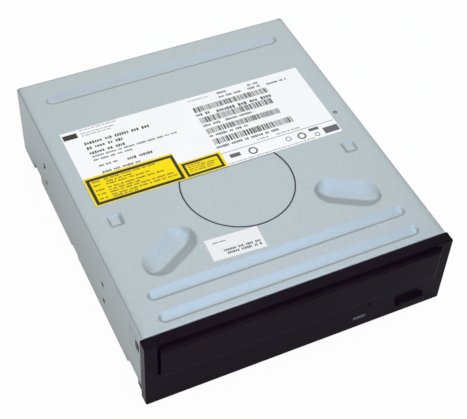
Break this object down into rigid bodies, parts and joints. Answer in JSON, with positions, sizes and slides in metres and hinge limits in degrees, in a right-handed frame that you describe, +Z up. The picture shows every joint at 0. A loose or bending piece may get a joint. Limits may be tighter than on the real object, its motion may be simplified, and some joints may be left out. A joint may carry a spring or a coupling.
{
  "type": "internal optical disc drive",
  "caption": "Half-height internal optical disc drive: steel case, black bezel, sliding disc tray, eject button and rear connectors.",
  "frame": {"origin": "middle of the case's front plane, where the bezel's back lies, level with the case's underside", "axes": "+X to the right seen from the front, +Y to the back, +Z up"},
  "size_m": [0.148, 0.1721, 0.0421],
  "materials": {
    "galvanised_steel": "galvanised, slightly mottled",
    "plain_steel": "rolled sheet",
    "zinc_screw": "zinc plated",
    "motor_steel": "drawn can",
    "bright_metal": "ground and polished",
    "die_cast": "bead blasted",
    "capacitor_can": "drawn",
    "brass": "turned",
    "gold_pins": "plated",
    "black_gloss": "glossy",
    "black_plastic": "fine texture",
    "white_plastic": "natural acetal",
    "grey_plastic": "satin",
    "connector_plastic": "satin",
    "connector_white": "satin",
    "chip_plastic": "fine texture",
    "pad_grey": "soft",
    "circuit_board": "solder mask",
    "light_lens": "milky",
    "lens_glass": "coated",
    "rubber": "plain",
    "rubber_damper": "soft",
    "label_white": "printed film",
    "label_yellow": "printed film",
    "label_cream": "printed film"
  },
  "bodies": {
    "case": {"top_cover": "galvanised_steel", "bottom_cover": "galvanised_steel", "cover_screws": "zinc_screw", "front_bezel": "black_gloss", "light_pipe": "light_lens", "main_chassis": "black_plastic", "clamp_bridge": "plain_steel", "bridge_screws": "zinc_screw", "loading_motor": "motor_steel", "motor_screws": "zinc_screw", "drive_belt": "rubber", "main_board": "circuit_board", "board_screws": "zinc_screw", "data_connector": "connector_plastic", "data_pins": "gold_pins", "power_connector": "connector_white", "power_pins": "gold_pins", "jumper_block": "connector_plastic", "header_pins": "gold_pins", "audio_connector": "connector_plastic", "controller_chip": "chip_plastic", "memory_chip": "chip_plastic", "driver_chip": "chip_plastic", "thermal_pad": "pad_grey", "capacitors": "capacitor_can", "front_board": "circuit_board", "eject_switch": "connector_plastic", "status_led": "light_lens", "main_label": "label_white", "yellow_field_left": "label_yellow", "yellow_field_right": "label_yellow", "small_label": "label_cream"},
    "tray": {"disc_tray": "black_plastic", "tray_door": "black_gloss"},
    "button": {"eject_button": "black_gloss"},
    "traverse": {"lift_frame": "black_plastic", "rubber_dampers": "rubber_damper", "damper_screws": "zinc_screw", "traverse_base": "plain_steel", "spindle_stator": "motor_steel", "main_guide_rod": "bright_metal", "second_guide_rod": "bright_metal", "rod_holders": "black_plastic", "feed_motor": "motor_steel", "screw_bearing": "black_plastic"},
    "rotor": {"spindle_rotor": "bright_metal", "turntable_pad": "rubber", "centring_hub": "grey_plastic"},
    "clamp": {"clamp_disc": "white_plastic", "clamp_yoke": "plain_steel"},
    "pickup": {"pickup_body": "die_cast", "actuator_cover": "black_plastic", "feed_nut": "white_plastic"},
    "lens": {"lens_holder": "grey_plastic", "objective_lens": "lens_glass"},
    "screw": {"lead_screw": "bright_metal"},
    "gear": {"drive_gear": "white_plastic"},
    "pulley": {"pulley_gear": "white_plastic"},
    "motor_wheel": {"motor_pulley": "brass"},
    "cam": {"cam_slider": "white_plastic"}
  },
  "joints": [
    {"name": "tray_slide", "type": "slide", "parent": "case", "child": "tray", "axis": [0, -1, 0], "range_m": [0, 0.134]},
    {"name": "button_press", "type": "slide", "parent": "case", "child": "button", "axis": [0, 1, 0], "range_m": [0, 0.001], "stiffness_N_per_m": 300},
    {"name": "traverse_lift", "type": "hinge", "parent": "case", "child": "traverse", "pos_m": [0, 0.147, 0.01225], "axis": [1, 0, 0], "range_deg": [0, 4.07]},
    {"name": "cam_slide", "type": "slide", "parent": "case", "child": "cam", "axis": [1, 0, 0], "range_m": [0, 0.0141]},
    {"name": "spindle_spin", "type": "hinge", "parent": "traverse", "child": "rotor", "pos_m": [0, 0.0635, 0.025], "axis": [0, 0, 1], "continuous": true},
    {"name": "clamp_spin", "type": "hinge", "parent": "case", "child": "clamp", "pos_m": [0, 0.0635, 0.033], "axis": [0, 0, 1], "continuous": true},
    {"name": "pickup_feed", "type": "slide", "parent": "traverse", "child": "pickup", "axis": [0, 1, 0], "range_m": [0, 0.034]},
    {"name": "lens_focus", "type": "slide", "parent": "pickup", "child": "lens", "axis": [0, 0, 1], "range_m": [-0.0004, 0.0004], "stiffness_N_per_m": 40},
    {"name": "screw_turn", "type": "hinge", "parent": "traverse", "child": "screw", "pos_m": [0.033, 0.1, 0.0205], "axis": [0, 1, 0], "range_deg": [0, 4085]},
    {"name": "drive_gear_turn", "type": "hinge", "parent": "case", "child": "gear", "pos_m": [-0.04, 0.018, 0.02], "axis": [0, 0, 1], "range_deg": [0, 962]},
    {"name": "pulley_gear_turn", "type": "hinge", "parent": "case", "child": "pulley", "pos_m": [-0.024, 0.018, 0.02], "axis": [0, 0, 1], "range_deg": [-2884, 0]},
    {"name": "motor_pulley_turn", "type": "hinge", "parent": "case", "child": "motor_wheel", "pos_m": [0.012, 0.0168, 0.0176], "axis": [0, 0, 1], "range_deg": [-8485, 0]}
  ],
  "couplings": [
    {"joint": "cam_slide", "follows": "traverse_lift", "m_per_rad": 0.19724},
    {"joint": "clamp_spin", "follows": "spindle_spin", "ratio": 1},
    {"joint": "screw_turn", "follows": "pickup_feed", "rad_per_m": 2094.4},
    {"joint": "drive_gear_turn", "follows": "tray_slide", "rad_per_m": 125},
    {"joint": "pulley_gear_turn", "follows": "tray_slide", "rad_per_m": -375},
    {"joint": "motor_pulley_turn", "follows": "tray_slide", "rad_per_m": -1104.2}
  ]
}
